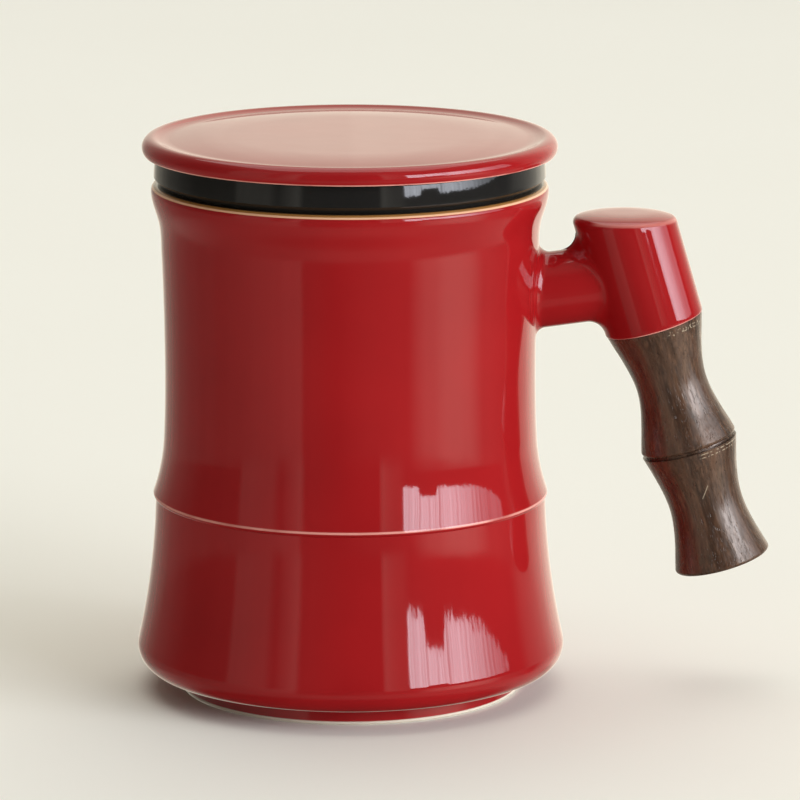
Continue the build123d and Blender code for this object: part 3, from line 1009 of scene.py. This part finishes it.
def lid_outline():
    """From the underside, down and up the skirt and round the rim to the top of the dome."""
    edge_rise = LID_EDGE_ROUND * math.sin(math.radians(LID_EDGE_ANGLE))
    edge = (LID_RADIUS - LID_EDGE_ROUND, BAND_TOP + edge_rise)
    gutter = on_circle(edge, LID_EDGE_ROUND + GUTTER_ROUND, RIM_ANGLE)
    dome_foot = on_circle(gutter, GUTTER_ROUND, -90 - DOME_LEAN)
    dome_radius = DOME_WIDTH / math.sin(math.radians(DOME_LEAN))
    dome = (dome_foot[0] - DOME_WIDTH, dome_foot[1] - dome_radius * math.cos(math.radians(DOME_LEAN)))
    ceiling = gutter[1] - GUTTER_ROUND - LID_WEB
    skirt_turn = SKIRT_FOOT + SKIRT_ROUND
    return [
        (SKIRT_INNER / 2, ceiling),
        *arc((SKIRT_INNER - SKIRT_ROUND, ceiling - SKIRT_ROUND), SKIRT_ROUND, 90, 0, 5),
        *arc((SKIRT_INNER + SKIRT_ROUND, skirt_turn), SKIRT_ROUND, 180, 270, 5),
        *arc((SKIRT_OUTER - SKIRT_ROUND, skirt_turn), SKIRT_ROUND, -90, 0, 5),
        (SKIRT_OUTER, BAND_TOP),
        *arc(edge, LID_EDGE_ROUND, -LID_EDGE_ANGLE, RIM_ANGLE, 28),
        *arc(gutter, GUTTER_ROUND, RIM_ANGLE - 180, -90 - DOME_LEAN, 8)[1:],
        *arc(dome, dome_radius, 90 - DOME_LEAN, 90, 12)[1:],
        (dome[0] / 2, dome[1] + dome_radius),
    ]


def make_lid():
    skin = Skin()
    outline = lid_outline()
    rows = turned_rows(skin, outline)
    for low, high in zip(rows, rows[1:]):
        skin.bridge(low, high)
    skin.cap(rows[0], (0, 0, outline[0][1]))
    skin.cap(rows[-1], (0, 0, outline[-1][1]))
    lid = skin.build("lid_turned")
    lid.data.materials.append(lid_glaze())
    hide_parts("lid")
    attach(lid, "lid")


def add_floor():
    """Plain pale floor, which keeps the shadow and which the glaze doesn't mirror."""
    bpy.ops.mesh.primitive_plane_add(size=FLOOR_SIZE)
    floor = bpy.context.object
    floor.name = "floor"
    paint = Paint("floor_paper", roughness=0.9)
    colour = paint.mix(paint.noise(scale=6.0), PAPER_DARK, PAPER_LIGHT)
    floor.data.materials.append(paint.finish(colour))
    floor.visible_glossy = False


def add_studio():
    """Surroundings that the glaze mirrors: dim sides, a slatted softbox, a pale backdrop."""
    world = bpy.data.worlds.new("studio")
    bpy.context.scene.world = world
    world.use_nodes = True
    tree = world.node_tree
    studio = Nodes(tree, tree.nodes.new("ShaderNodeTexCoord").outputs["Generated"])
    forward = studio.both(studio.axis("Y"), -1.0)
    azimuth = studio.both(studio.math("ARCTAN2", studio.axis("X"), forward), DEGREES)
    elevation = studio.both(studio.math("ARCSINE", studio.axis("Z")), DEGREES)
    tint = studio.mix(studio.rise(studio.axis("Y"), *BACKDROP_START), SIDE_TINT, BACKDROP_TINT)
    walls = studio.vector("MULTIPLY", studio_grey(studio, azimuth, elevation), tint)
    glow = studio.mix(softbox_share(studio, azimuth, elevation), NO_LIGHT, SOFTBOX_TINT)
    softbox = studio.node("VectorMath", {0: glow, "Scale": SOFTBOX_LEVEL}, operation="SCALE").outputs[0]
    studio.feed(tree.nodes["Background"].inputs["Color"], studio.vector("ADD", walls, softbox))


def studio_grey(studio, azimuth, elevation):
    """Brightness of the studio all round, from the ground to the ceiling, without the softbox."""
    low, high = studio.level(azimuth, STUDIO_LOW), studio.level(azimuth, STUDIO_HIGH)
    grey = studio.mix(studio.rise(elevation, *STUDIO_TURN), low, high)
    around = studio.node("CombineXYZ", {"X": azimuth}).outputs[0]
    uprights = studio.noise(scale=0.12, detail=5.0, place=around, roughness=0.7)
    grey = studio.both(grey, studio.math("MULTIPLY_ADD", uprights, UPRIGHTS_SPAN, UPRIGHTS_LEAST))
    grey = studio.mix(studio.rise(elevation, *GROUND_START), grey, studio.level(azimuth, STUDIO_GROUND))
    grey = studio.mix(studio.rise(elevation, *FOOT_START), grey, STUDIO_FOOT)
    return studio.mix(studio.rise(elevation, *CEILING_START), grey, STUDIO_CEILING)


def softbox_share(studio, azimuth, elevation):
    """Brightness of the softbox: upright slats, one dark bar and a ragged lower edge."""
    flat = studio.node("CombineXYZ", {"X": azimuth, "Y": elevation}).outputs[0]
    tears = studio.noise(scale=0.5, detail=5.0, place=flat, roughness=0.75)
    ragged = studio.math("MULTIPLY_ADD", tears, SOFTBOX_RAGGED, -SOFTBOX_RAGGED / 2)
    edge = studio.math("ADD", studio.level(azimuth, SOFTBOX_EDGE), ragged)
    above = studio.rise(studio.math("SUBTRACT", elevation, edge), -SOFTBOX_EDGE_SOFT, SOFTBOX_EDGE_SOFT)
    upward = studio.both(above, studio.rise(elevation, *SOFTBOX_TOP))
    across = studio.both(studio.rise(azimuth, *SOFTBOX_LEFT), studio.rise(azimuth, *SOFTBOX_RIGHT))
    around = studio.node("CombineXYZ", {"X": azimuth}).outputs[0]
    slats = studio.rise(studio.noise(scale=0.7, detail=3.0, place=around, roughness=0.7), 0.3, 0.65)
    bright = studio.math("MULTIPLY_ADD", slats, SLATS_SPAN, SLATS_LEAST)
    bright = studio.both(bright, studio.level(azimuth, SOFTBOX_FADE))
    bar = studio.line(azimuth, BAR_AZIMUTH, BAR_HALF, BAR_SOFT)
    bright = studio.both(bright, studio.math("MULTIPLY_ADD", bar, -BAR_SHADE, 1.0))
    return studio.both(studio.both(across, upward), bright)


def add_area(name, place, target, size, level, tint):
    light = bpy.data.lights.new(name, "AREA")
    light.shape = "RECTANGLE"
    light.size, light.size_y = size
    light.energy = level * math.pi * size[0] * size[1]
    light.color = tint
    lamp = bpy.data.objects.new(name, light)
    lamp.location = place
    lamp.rotation_euler = (Vector(target) - Vector(place)).to_track_quat("-Z", "Y").to_euler()
    bpy.context.scene.collection.objects.link(lamp)
    lamp.visible_camera = False
    return lamp


def add_lights():
    """A large soft lamp overhead, and a fill from the softbox's side that the glaze doesn't mirror."""
    add_area("overhead", OVERHEAD_PLACE, OVERHEAD_TARGET, OVERHEAD_SIZE, OVERHEAD_LEVEL, OVERHEAD_TINT)
    fill = add_area("fill", FILL_PLACE, FILL_TARGET, FILL_SIZE, FILL_LEVEL, FILL_TINT)
    fill.visible_glossy = False


def add_camera():
    camera = bpy.data.cameras.new("camera")
    camera.sensor_width = SENSOR_WIDTH
    camera.lens = LENS
    view = bpy.data.objects.new("camera", camera)
    view.location = CAMERA_PLACE
    right = math.atan(CUP_LEFT_PIXELS / LENS_PIXELS)
    view.rotation_euler = (math.radians(90 - CAMERA_DOWN), 0, -right)
    bpy.context.scene.collection.objects.link(view)
    bpy.context.scene.camera = view


make_cup()
make_lid()
make_infuser()
dress("handle_grip", walnut())
dress("handle_stud", brushed_steel())
dress("socket_epoxy", cured_epoxy())
add_floor()
add_studio()
add_lights()
add_camera()
bpy.context.scene.view_settings.view_transform = "Standard"
